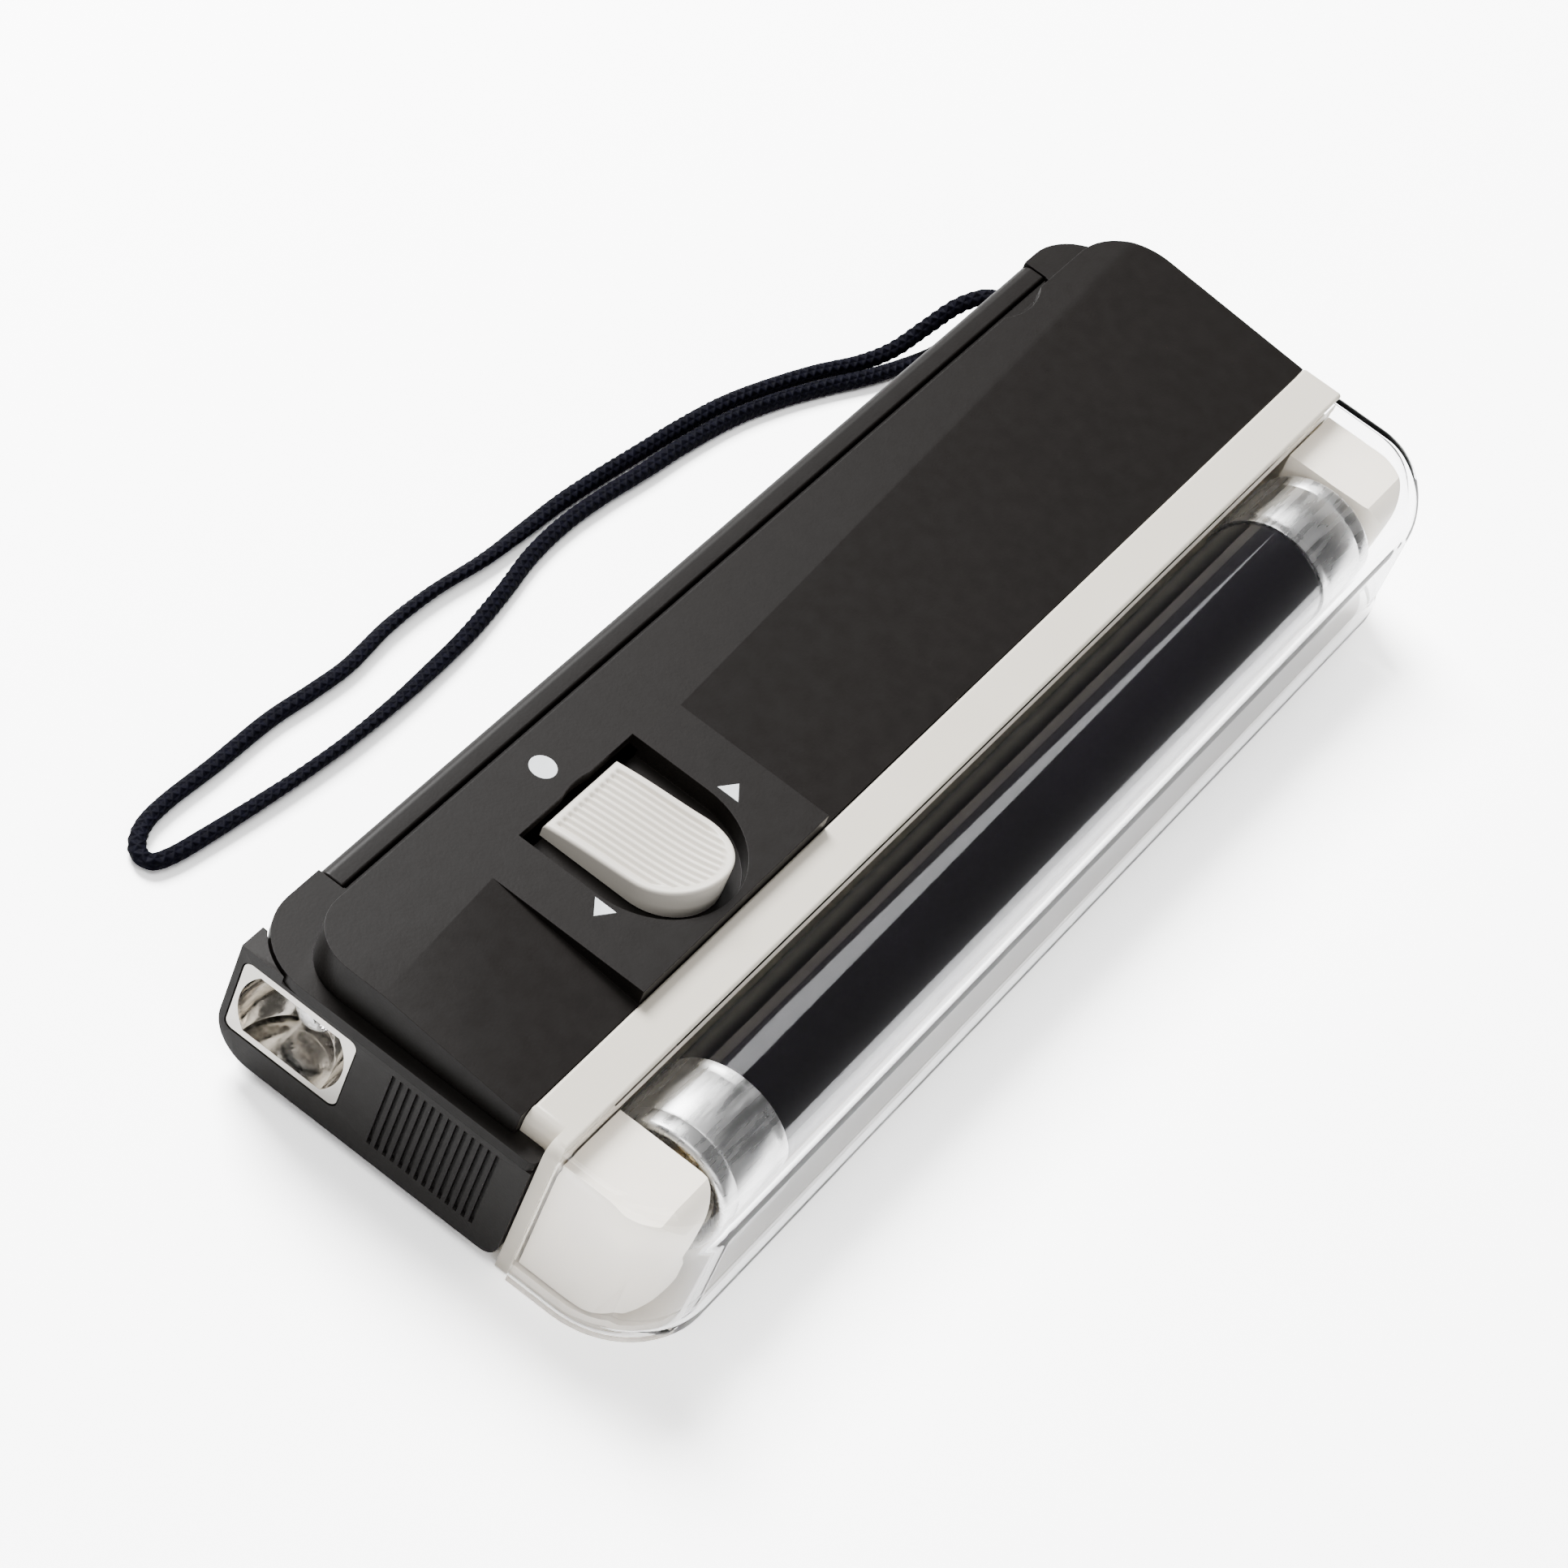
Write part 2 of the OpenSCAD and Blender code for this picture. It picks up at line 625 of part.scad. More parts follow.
// Cells in the second row face the other way
function cell_dir(i) = floor(i / 2) == 0 ? 1 : -1;

module cell(i) {
  translate([cell_x(i), cell_y(i), cell_z]) rotate([0, 90 * cell_dir(i), 0])
    translate([0, 0, -cell_l / 2]) difference() {
      cylinder(r = cell_r, h = cell_l - 1.2);
      translate([0, 0, -1]) cylinder(r = 4.6, h = 1.4);
    }
}

module cell_1() color([0.15, 0.15, 0.17]) cell(0);
module cell_2() color([0.15, 0.15, 0.17]) cell(1);
module cell_3() color([0.15, 0.15, 0.17]) cell(2);
module cell_4() color([0.15, 0.15, 0.17]) cell(3);

module cell_terminals() color([0.8, 0.8, 0.8]) {
  for (i = [0:3])
    translate([cell_x(i), cell_y(i), cell_z]) rotate([0, 90 * cell_dir(i), 0])
      translate([0, 0, cell_l / 2 - 1.18]) cylinder(r = 2.7, h = 1.1);
}

// Cone-shaped coil, wide at the wall and narrow at the cell
module cone_spring(length, turns, r_wide, r_narrow, wire) {
  n = turns * 12;
  tube_along([
    for (i = [0:n])
      let (t = i / n, r = r_wide + (r_narrow - r_wide) * t, a = 30 * i)
      [r * cos(a), r * sin(a), wire + (length - 2 * wire) * t]
  ], wire, 6);
}

module contact_springs() color([0.78, 0.76, 0.7]) {
  translate([bay_x0 + 0.6, cell_ys[0], cell_z]) rotate([0, 90, 0])
    cone_spring(3.9, 3, 3.6, 2.2, 0.4);
  translate([bay_x1 - 0.6, cell_ys[1], cell_z]) rotate([0, -90, 0])
    cone_spring(1.9, 2, 3.6, 2.6, 0.35);
}

module contact_plates() color([0.78, 0.76, 0.7]) {
  box([bay_x0 + 0.1, cell_ys[0] - 5, 3], [bay_x0 + 0.5, cell_ys[0] + 5, 15]);
  box([bay_x0 + 0.1, cell_ys[1] - 5, 3], [bay_x0 + 0.5, cell_ys[1] + 5, 15]);
  box([bay_x1 - 0.5, cell_ys[0] - 5, 3], [bay_x1 - 0.1, cell_ys[1] + 5, 15]);
}

// ---- fasteners and strap --------------------------------------------------------

module housing_screws() color([0.6, 0.6, 0.62]) {
  for (p = screw_spots) translate([p[0], p[1], 0]) difference() {
    union() {
      translate([0, 0, 0.1]) cylinder(r = 2.1, h = 0.8);
      translate([0, 0, 0.85]) cylinder(r = 1.0, h = 17.2);
    }
    translate([-1.2, -0.2, -1]) cube([2.4, 0.4, 1.5]);
    translate([-0.2, -1.2, -1]) cube([0.4, 2.4, 1.5]);
  }
}

module strap_anchor() color([0.1, 0.1, 0.1]) {
  box([strap_x - 1.5, y1 - 6.2, slot_z0 + 0.1], [strap_x + 1.5, y1 - 0.45, slot_z1 - 0.1]);
}

module strap_cord() color([0.03, 0.03, 0.07]) {
  tube_along(cord_pts, cord_d / 2, 8);
}

module index_marks() color([0.93, 0.94, 0.95]) {
  slab(body_h - 0.09, body_h + 0.02) offset(-0.03) mark_outlines();
}

// ---- wires ----------------------------------------------------------------------

module lamp_wires() color([0.75, 0.1, 0.1]) {
  tube_along([[-51.5, -2, board_z + board_t + 0.1], [-51.5, -2, 11], [-51.8, -2.2, 14.4],
    [-53.5, -2.5, 16], [-58, -2.6, 16.3], [-63, -2.6, 16.3]], 0.5, 8);
}

module torch_wires() color([0.1, 0.1, 0.1]) {
  for (s = [-1, 1])
    tube_along([[x0 + 13.2, bezel_y + s * 2, bezel_z], [x0 + 14.4, bezel_y + s * 2, bezel_z],
      [x0 + 15.2, bezel_y + s * 2, 9.2], [x0 + 15.4, bezel_y + s * 2, board_z + board_t + 0.1]],
      0.4, 8);
}

module battery_wires() color([0.8, 0.7, 0.1]) {
  for (y = [14.4, 21])
    tube_along([[-48, y, board_z + board_t + 0.1], [-48, y, 10],
      [-46, y, 12], [-43, y, 12], [bay_x0 - wall - 0.05, y, 12]], 0.45, 8);
}

upper_cover();
lower_shell();
battery_door();
torch_head();
torch_reflector();
torch_bulb();
torch_socket();
lamp_frame();
tube_cover();
uv_tube();
tube_cap_near();
tube_cap_far();
tube_pins();
lamp_holder_near();
lamp_holder_far();
switch_knob();
switch_slider();
switch_body();
circuit_board();
transformer();
transistor();
capacitors();
cell_1();
cell_2();
cell_3();
cell_4();
cell_terminals();
contact_springs();
contact_plates();
housing_screws();
strap_anchor();
strap_cord();
index_marks();
lamp_wires();
torch_wires();
battery_wires();
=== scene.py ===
"""Looks of a handheld ultraviolet banknote checker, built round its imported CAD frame."""
import json
import math

import bmesh
import bpy
from mathutils import Matrix, Vector

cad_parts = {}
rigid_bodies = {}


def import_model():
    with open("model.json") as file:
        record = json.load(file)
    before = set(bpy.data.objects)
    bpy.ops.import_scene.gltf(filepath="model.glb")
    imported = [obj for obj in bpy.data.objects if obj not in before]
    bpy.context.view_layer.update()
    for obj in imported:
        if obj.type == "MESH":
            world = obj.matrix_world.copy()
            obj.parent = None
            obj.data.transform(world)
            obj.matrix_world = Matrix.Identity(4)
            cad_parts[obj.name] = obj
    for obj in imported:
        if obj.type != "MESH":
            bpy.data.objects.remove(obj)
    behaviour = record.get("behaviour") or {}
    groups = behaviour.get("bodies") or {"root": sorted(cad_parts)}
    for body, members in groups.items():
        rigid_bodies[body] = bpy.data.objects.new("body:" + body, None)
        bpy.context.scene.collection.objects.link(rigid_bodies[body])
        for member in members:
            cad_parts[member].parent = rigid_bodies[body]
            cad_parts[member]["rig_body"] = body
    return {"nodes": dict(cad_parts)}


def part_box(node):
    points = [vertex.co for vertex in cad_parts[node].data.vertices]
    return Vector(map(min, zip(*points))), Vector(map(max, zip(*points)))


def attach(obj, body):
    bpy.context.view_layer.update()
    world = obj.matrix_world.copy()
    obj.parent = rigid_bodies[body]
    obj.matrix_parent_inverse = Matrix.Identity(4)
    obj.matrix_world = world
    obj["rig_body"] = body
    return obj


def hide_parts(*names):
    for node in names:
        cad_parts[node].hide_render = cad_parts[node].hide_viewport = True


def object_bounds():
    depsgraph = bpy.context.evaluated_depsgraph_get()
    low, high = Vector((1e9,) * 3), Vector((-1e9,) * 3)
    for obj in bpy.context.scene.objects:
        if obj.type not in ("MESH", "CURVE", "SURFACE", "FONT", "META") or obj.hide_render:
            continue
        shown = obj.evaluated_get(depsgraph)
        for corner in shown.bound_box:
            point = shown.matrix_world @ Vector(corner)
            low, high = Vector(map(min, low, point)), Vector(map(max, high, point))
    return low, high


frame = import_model()
CAD_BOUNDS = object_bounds()
MM = 0.001

# ---- camera -------------------------------------------------------------------

TARGET = Vector((-13.4, 3.5, 10.0)) * MM
AZIMUTH = math.radians(-73.77)
ELEVATION = math.radians(45.75)
ROLL = math.radians(24.76)
DISTANCE = 0.538
LENS = 116.43
SENSOR = 36


def make_camera():
    """A camera at the product shot's angle, tipped a little on its own axis."""
    back = Vector((
        math.sin(AZIMUTH) * math.cos(ELEVATION),
        -math.cos(AZIMUTH) * math.cos(ELEVATION),
        math.sin(ELEVATION),
    ))
    side = (-back).cross(Vector((0, 0, 1))).normalized()
    up = side.cross(-back)
    right = math.cos(ROLL) * side + math.sin(ROLL) * up
    top = -math.sin(ROLL) * side + math.cos(ROLL) * up
    data = bpy.data.cameras.new("camera")
    data.sensor_width = SENSOR
    data.lens = LENS
    data.clip_start = 0.01
    camera = bpy.data.objects.new("camera", data)
    bpy.context.scene.collection.objects.link(camera)
    spin = Matrix((right, top, back)).transposed().to_4x4()
    camera.matrix_world = Matrix.Translation(TARGET + back * DISTANCE) @ spin
    bpy.context.scene.camera = camera


make_camera()

# ---- mesh helpers -------------------------------------------------------------


def link(name, mesh):
    """A new object with that mesh, in the scene."""
    obj = bpy.data.objects.new(name, mesh)
    bpy.context.scene.collection.objects.link(obj)
    return obj


def smooth(mesh, angle=35):
    """Smooth shading that stays sharp over edges steeper than angle."""
    mesh.shade_smooth()
    mesh.set_sharp_from_angle(angle=math.radians(angle))


BIG_FACE = 25  # square millimetres
SLIGHT_TURN = math.radians(1.5)


def crisp(obj, angle):
    """Smooth edges only: flat faces stay flat, and ridges between big faces stay sharp."""
    smooth(obj.data, angle)
    form = bmesh.new()
    form.from_mesh(obj.data)
    for edge in form.edges:
        if len(edge.link_faces) != 2:
            continue
        areas = [face.calc_area() / MM ** 2 for face in edge.link_faces]
        if min(areas) > BIG_FACE and edge.calc_face_angle(0) > SLIGHT_TURN:
            edge.smooth = False
    form.to_mesh(obj.data)
    form.free()
    weigh = obj.modifiers.new("flats", "WEIGHTED_NORMAL")
    weigh.keep_sharp = True
    weigh.weight = 100
    baked(obj)


def baked(obj):
    """Apply obj's modifiers to its mesh."""
    bpy.context.view_layer.update()
    graph = bpy.context.evaluated_depsgraph_get()
    mesh = bpy.data.meshes.new_from_object(obj.evaluated_get(graph))
    obj.modifiers.clear()
    obj.data = mesh


def finish_piece(obj, node, mat):
    """Dress obj in mat, seat it on node's body and let it stand for that node."""
    obj.data.materials.clear()
    obj.data.materials.append(mat)
    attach(obj, frame["nodes"][node]["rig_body"])
    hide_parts(node)


WELD = 2e-6
FLAT_ENOUGH = math.radians(0.6)
BEVELLED_FROM = math.radians(32)


def softened(node, mat, width, convex):
    """The CAD node's own shape with its edges rounded by width millimetres.

    convex cuts its flat faces into convex ones first, for faces with many openings.
    """
    mesh = frame["nodes"][node].data.copy()
    form = bmesh.new()
    form.from_mesh(mesh)
    bmesh.ops.remove_doubles(form, verts=form.verts, dist=WELD)
    bmesh.ops.dissolve_limit(
        form, angle_limit=FLAT_ENOUGH, verts=form.verts, edges=form.edges)
    if convex:
        bmesh.ops.connect_verts_concave(form, faces=form.faces)
    form.to_mesh(mesh)
    form.free()
    obj = link(node + "_moulding", mesh)
    if mesh.has_custom_normals:
        bpy.context.view_layer.objects.active = obj
        with bpy.context.temp_override(object=obj, active_object=obj):
            bpy.ops.mesh.customdata_custom_splitnormals_clear()
    bevel = obj.modifiers.new("edges", "BEVEL")
    bevel.width = width * MM
    bevel.segments = 3
    bevel.limit_method = "ANGLE"
    bevel.angle_limit = BEVELLED_FROM
    bevel.use_clamp_overlap = True
    bevel.miter_outer = "MITER_ARC"
    baked(obj)
    crisp(obj, 40)
    finish_piece(obj, node, mat)


AROUND = 128


def lathe(name, profile):
    """A solid of revolution about X. profile holds (x, r) points, in millimetres."""
    form = bmesh.new()
    rings = []
    for x, r in profile:
        if r < 1e-6:
            rings.append([form.verts.new((x * MM, 0, 0))])
            continue
        rings.append([
            form.verts.new((
                x * MM,
                r * MM * math.cos(2 * math.pi * k / AROUND),
                r * MM * math.sin(2 * math.pi * k / AROUND),
            ))
            for k in range(AROUND)
        ])
    for a, b in zip(rings, rings[1:]):
        for k in range(AROUND):
            n = (k + 1) % AROUND
            corners = [a[k % len(a)], a[n % len(a)], b[n % len(b)], b[k % len(b)]]
            corners = list(dict.fromkeys(corners))
            if len(corners) > 2:
                form.faces.new(corners)
    bmesh.ops.recalc_face_normals(form, faces=form.faces)
    mesh = bpy.data.meshes.new(name)
    form.to_mesh(mesh)
    form.free()
    return link(name, mesh)


def moved(obj, x, y, z):
    """Shift obj's mesh by millimetres."""
    obj.data.transform(Matrix.Translation(Vector((x, y, z)) * MM))
    return obj


# ---- wrist cord ---------------------------------------------------------------

CORD_POINTS = [
    (72, 27.4, 8.8), (72, 29, 8.7), (71.2, 31, 8), (69, 32.9, 6.2), (65.5, 34.2, 3.9),
    (61.5, 35.5, 1.7), (57, 37.2, 1), (51, 39.9, 1), (44, 42.4, 1), (37.5, 44.2, 1),
    (30, 45.4, 1), (23, 46.2, 1), (16, 47, 1), (9, 47.6, 1), (2, 47.8, 1),
    (-5, 48.1, 1), (-13, 49, 1), (-21, 49.2, 1), (-29, 48.6, 1), (-35, 48.9, 1),
    (-42, 49.5, 1), (-51, 49.5, 1), (-59, 49.7, 1), (-63.5, 49.2, 1), (-66.2, 47.6, 1),
    (-66.3, 45.7, 1), (-63.8, 44.7, 1), (-59, 44, 1), (-54, 43.4, 1), (-46.5, 42.6, 1),
    (-38, 42, 1), (-30, 41.9, 1), (-23, 42.1, 1), (-15, 42.6, 1), (-7, 43.7, 1),
    (0, 44.9, 1), (7, 45.3, 1), (14, 44.9, 1), (21, 44.1, 1), (29, 43.3, 1),
    (37, 42, 1), (44, 40, 1), (50, 37.7, 1), (56, 35.1, 1), (61, 33.4, 1),
    (65.5, 32.1, 1.2), (69, 31.2, 2.4), (71.2, 30.2, 4.2), (72, 28.8, 5.1), (72, 27.4, 5.2),
]
CORD_WIDTH = 2.1
CORD_THICKNESS = 1.5
CORD_SIDES = 14
SPAN_STEPS = 14
WEAVE_RATE = 5.2  # radians along the cord per millimetre
WEAVE_DEPTH = 0.035
CORD_TRIM = 0.93  # keeps the weave's crests within the width


def spline(points):
    """A smooth line through the points, in metres."""
    p = [Vector(q) * MM for q in points]
    p = [p[0] * 2 - p[1]] + p + [p[-1] * 2 - p[-2]]
    line = []
    for i in range(1, len(p) - 2):
        for k in range(SPAN_STEPS):
            t = k / SPAN_STEPS
            line.append(0.5 * (
                2 * p[i] + (p[i + 1] - p[i - 1]) * t
                + (2 * p[i - 1] - 5 * p[i] + 4 * p[i + 1] - p[i + 2]) * t * t
                + (3 * p[i] - p[i - 1] - 3 * p[i + 1] + p[i + 2]) * t ** 3
            ))
    line.append(p[-2])
    return line


def make_cord(mat):
    """The braided wrist cord: an oval tube that turns a little as it goes."""
    line = spline(CORD_POINTS)
    form = bmesh.new()
    rings = []
    runs = []
    length = 0.0
    for i, c in enumerate(line):
        if i:
            length += (c - line[i - 1]).length
        ahead = line[min(i + 1, len(line) - 1)] - line[max(i - 1, 0)]
        t = ahead.normalized()
        s = t.cross(Vector((0, 0, 1))).normalized()
        u = s.cross(t)
        run = length / MM
        turn = 0.5 * math.sin(run * 0.045) + 0.35 * math.sin(run * 0.11 + 1)
        ring = []
        for k in range(CORD_SIDES):
            a = 2 * math.pi * k / CORD_SIDES
            weave = (
                1 + WEAVE_DEPTH * math.sin(run * WEAVE_RATE + a * 3)
                + WEAVE_DEPTH * math.sin(run * WEAVE_RATE - a * 3))
            e = CORD_WIDTH / 2 * math.cos(a) * weave * CORD_TRIM
            f = CORD_THICKNESS / 2 * math.sin(a) * weave * CORD_TRIM
            x = e * math.cos(turn) - f * math.sin(turn)
            y = e * math.sin(turn) + f * math.cos(turn)
            ring.append(form.verts.new(c + (s * x + u * y) * MM))
        rings.append(ring)
        runs.append(run)
    uv = form.loops.layers.uv.new("braid")
    for i, (a, b) in enumerate(zip(rings, rings[1:])):
        for k in range(CORD_SIDES):
            n = (k + 1) % CORD_SIDES
            face = form.faces.new((a[k], a[n], b[n], b[k]))
            spots = ((k, i), (k + 1, i), (k + 1, i + 1), (k, i + 1))
            for loop, (around, along) in zip(face.loops, spots):
                loop[uv].uv = (around / CORD_SIDES, runs[along])
    form.faces.new(rings[0])
    form.faces.new(list(reversed(rings[-1])))
    bmesh.ops.recalc_face_normals(form, faces=form.faces)
    mesh = bpy.data.meshes.new("wrist_cord")
    form.to_mesh(mesh)
    form.free()
    mesh.shade_smooth()
    cord = link("wrist_cord", mesh)
    finish_piece(cord, "strap_cord", mat)


# ---- materials ----------------------------------------------------------------

NOISE_LOW = 0.3
NOISE_HIGH = 0.7
STRANDS = 4


def material(name, color, rough, **sockets):
    """A Principled material; the sockets are given by their Blender names with underscores."""
    mat = bpy.data.materials.new(name)
    mat.use_nodes = True
    shader = mat.node_tree.nodes["Principled BSDF"]
    shader.inputs["Base Color"].default_value = (*color, 1)
    shader.inputs["Roughness"].default_value = rough
    for key, value in sockets.items():
        shader.inputs[key.replace("_", " ")].default_value = value
    return mat


def noise(mat, scale, detail=3, stretch=(1, 1, 1)):
    """Noise over the object's own coordinates. scale is per millimetre."""
    nodes, links = mat.node_tree.nodes, mat.node_tree.links
    place = nodes.new("ShaderNodeTexCoord")
    stretching = nodes.new("ShaderNodeMapping")
    stretching.inputs["Scale"].default_value = stretch
    texture = nodes.new("ShaderNodeTexNoise")
    texture.inputs["Scale"].default_value = scale / MM
    texture.inputs["Detail"].default_value = detail
    links.new(place.outputs["Object"], stretching.inputs["Vector"])
    links.new(stretching.outputs["Vector"], texture.inputs["Vector"])
    return texture.outputs["Fac"]


def add_bump(mat, height, strength, depth):
    """Bump from a height output. depth is in millimetres. Bumps chain."""
    nodes, links = mat.node_tree.nodes, mat.node_tree.links
    shader = nodes["Principled BSDF"]
    bump = nodes.new("ShaderNodeBump")
    bump.inputs["Strength"].default_value = strength
    bump.inputs["Distance"].default_value = depth * MM
    links.new(height, bump.inputs["Height"])
    earlier = shader.inputs["Normal"].links
    if earlier:
        links.new(earlier[0].from_socket, bump.inputs["Normal"])
    links.new(bump.outputs["Normal"], shader.inputs["Normal"])


def vary(mat, socket, source, low, high):
    """Drive a number socket from source, between low and high."""
    nodes, links = mat.node_tree.nodes, mat.node_tree.links
    span = nodes.new("ShaderNodeMapRange")
    span.inputs["From Min"].default_value = NOISE_LOW
    span.inputs["From Max"].default_value = NOISE_HIGH
    span.inputs["To Min"].default_value = low
    span.inputs["To Max"].default_value = high
    links.new(source, span.inputs["Value"])
    links.new(span.outputs["Result"], nodes["Principled BSDF"].inputs[socket])


def vary_color(mat, source, dark, light):
    """Drive the base colour from source, between two colours."""
    nodes, links = mat.node_tree.nodes, mat.node_tree.links
    ramp = nodes.new("ShaderNodeValToRGB")
    ramp.color_ramp.elements[0].position = NOISE_LOW
    ramp.color_ramp.elements[0].color = (*dark, 1)
    ramp.color_ramp.elements[1].position = NOISE_HIGH
    ramp.color_ramp.elements[1].color = (*light, 1)
    links.new(source, ramp.inputs["Fac"])
    links.new(ramp.outputs["Color"], nodes["Principled BSDF"].inputs["Base Color"])


def moulded(name, dark, light, rough, grain=0.25, gloss=0.5):
    """Moulded plastic with a spark-eroded grain."""
    mat = material(name, light, rough, Specular_IOR_Level=gloss)
    vary_color(mat, noise(mat, 0.06, 4), dark, light)
    vary(mat, "Roughness", noise(mat, 0.5, 3), rough - 0.03, rough + 0.03)
    add_bump(mat, noise(mat, 3.2, 2), grain, 0.03)
    add_bump(mat, noise(mat, 0.12, 2), 0.02, 0.12)
    return mat


def metal(name, color, rough, stretch, scratch=0.25):
    """Drawn or plated metal with fine lines."""
    mat = material(name, color, rough, Metallic=1.0)
    lines = noise(mat, 1.0, 5, stretch)
    vary(mat, "Roughness", lines, rough - 0.08, rough + 0.12)
    vary_color(mat, noise(mat, 0.25, 4), tuple(c * 0.82 for c in color), color)
    add_bump(mat, lines, scratch, 0.02)
    return mat


def braid(name):
    """Braided cord: crossing strands along the braid's own UV."""
    mat = material(name, (0.0016, 0.0016, 0.005), 0.7, Specular_IOR_Level=0.06)
    nodes, links = mat.node_tree.nodes, mat.node_tree.links
    place = nodes.new("ShaderNodeUVMap")
    place.uv_map = "braid"
    parts = nodes.new("ShaderNodeSeparateXYZ")
    links.new(place.outputs["UV"], parts.inputs["Vector"])
    waves = []
    for sign in (1, -1):
        around = nodes.new("ShaderNodeMath")
        around.operation = "MULTIPLY"
        around.inputs[1].default_value = sign * 2 * math.pi * STRANDS
        links.new(parts.outputs["X"], around.inputs[0])
        along = nodes.new("ShaderNodeMath")
        along.operation = "MULTIPLY_ADD"
        along.inputs[1].default_value = WEAVE_RATE
        links.new(parts.outputs["Y"], along.inputs[0])
        links.new(around.outputs[0], along.inputs[2])
        wave = nodes.new("ShaderNodeMath")
        wave.operation = "SINE"
        links.new(along.outputs[0], wave.inputs[0])
        waves.append(wave.outputs[0])
    cross = nodes.new("ShaderNodeMath")
    cross.operation = "MAXIMUM"
    links.new(waves[0], cross.inputs[0])
    links.new(waves[1], cross.inputs[1])
    add_bump(mat, cross.outputs[0], 0.9, 0.12)
    add_bump(mat, noise(mat, 6, 2), 0.4, 0.04)
    vary_color(mat, noise(mat, 1.5, 3), (0.0008, 0.0008, 0.0028), (0.0025, 0.0025, 0.007))
    return mat


black = moulded(
    "black_grain", (0.0056, 0.0045, 0.0039), (0.006, 0.0048, 0.0042), 0.42, 0.35, 0.17)
black_ribbed = moulded(
    "black_rib_grain", (0.0075, 0.0062, 0.0056), (0.0095, 0.008, 0.0072), 0.5, 0.4, 0.25)
cream = moulded("cream_satin", (0.70, 0.645, 0.55), (0.73, 0.675, 0.58), 0.42, 0.12)
knob_cream = moulded("knob_satin", (0.68, 0.635, 0.56), (0.72, 0.675, 0.60), 0.4, 0.12)
ivory = moulded("socket_ivory", (0.66, 0.64, 0.58), (0.72, 0.70, 0.64), 0.45, 0.12)
aluminium = metal("drawn_aluminium", (0.56, 0.56, 0.55), 0.26, (0.12, 1, 1))
plated = metal("zinc_plate", (0.62, 0.62, 0.64), 0.3, (1, 1, 0.2))
brass = metal("pin_brass", (0.75, 0.56, 0.28), 0.28, (1, 1, 1))
chrome = metal("metallised", (0.82, 0.79, 0.74), 0.09, (1, 1, 1), 0.02)
braided = braid("navy_braid")


def lets_light_through(mat):
    """Let lamp light pass straight through a clear material."""
    nodes, links = mat.node_tree.nodes, mat.node_tree.links
    path = nodes.new("ShaderNodeLightPath")
    through = nodes.new("ShaderNodeBsdfTransparent")
    mix = nodes.new("ShaderNodeMixShader")
    links.new(path.outputs["Is Shadow Ray"], mix.inputs["Fac"])
    links.new(nodes["Principled BSDF"].outputs["BSDF"], mix.inputs[1])
    links.new(through.outputs["BSDF"], mix.inputs[2])
    links.new(mix.outputs["Shader"], nodes["Material Output"].inputs["Surface"])
    return mat


def make_clear():
    """Clear acrylic, polished, with faint moulding waves."""
    mat = material("clear_acrylic", (0.99, 0.99, 1.0), 0.01, Transmission_Weight=1.0, IOR=1.36)
    vary(mat, "Roughness", noise(mat, 0.4, 3), 0.0, 0.015)
    add_bump(mat, noise(mat, 0.05, 1), 0.02, 0.1)
    return lets_light_through(mat)


def make_uv_glass():
    """Violet-black filter glass."""
    mat = material("filter_glass", (0.0008, 0.0006, 0.0012), 0.05, Coat_Weight=0.3)
    mat.node_tree.nodes["Principled BSDF"].inputs["Coat Roughness"].default_value = 0.03
    vary_color(mat, noise(mat, 0.03, 2), (0.0006, 0.0004, 0.0008), (0.0012, 0.0008, 0.0018))
    vary(mat, "Roughness", noise(mat, 0.05, 2), 0.04, 0.08)
    add_bump(mat, noise(mat, 0.03, 1), 0.01, 0.1)
    return mat


def plain(name, color, rough, **sockets):
    """A simple coated part inside the housing."""
    mat = material(name, color, rough, **sockets)
    vary_color(mat, noise(mat, 0.3, 4), tuple(c * 0.8 for c in color), color)
    vary(mat, "Roughness", noise(mat, 0.8, 3), rough - 0.06, rough + 0.08)
    add_bump(mat, noise(mat, 2.0, 2), 0.15, 0.03)
    return mat


clear = make_clear()
uv_glass = make_uv_glass()
bulb_glass = material("bulb_lens", (0.98, 0.98, 1.0), 0.02, Transmission_Weight=1.0, IOR=1.5)
add_bump(bulb_glass, noise(bulb_glass, 0.4, 1), 0.02, 0.05)
lets_light_through(bulb_glass)
ink = plain("printed_white", (0.82, 0.85, 0.87), 0.5)

make_cord(braided)

# ---- housing --------------------------------------------------------------------

for node, mat, width in (
    ("upper_cover", black, 0.35),
    ("lower_shell", black, 0.3),
    ("battery_door", black, 0.3),
    ("torch_head", black_ribbed, 0.14),
    ("torch_reflector", chrome, 0.12),
    ("lamp_frame", cream, 0.25),
    ("lamp_holder_near", cream, 0.4),
    ("lamp_holder_far", cream, 0.4),
    ("strap_anchor", black, 0.2),
):
    softened(node, mat, width, convex=node == "torch_head")

# ---- switch knob ----------------------------------------------------------------


KNOB_ROWS = 70
KNOB_ACROSS = 220
KNOB_BORDER = 0.85
KNOB_BLEND = 0.35
KNOB_EDGE = 0.45
RIB_PITCH = 0.95
RIB_HEIGHT = 0.36
RIB_DROP = 0.42
KNOB_FOOT = 19.75
STEM_SIZE = (3.2, 4, 2.2)
STEM_Y = 7
STEM_Z = 18.9


def knob_height(t):
    """Height of the knob's crown along its length, strap end 0 to round end 1."""
    return 21.4 + math.sin(math.pi * t) * (1 - t) + 3.0 * t ** 2.6


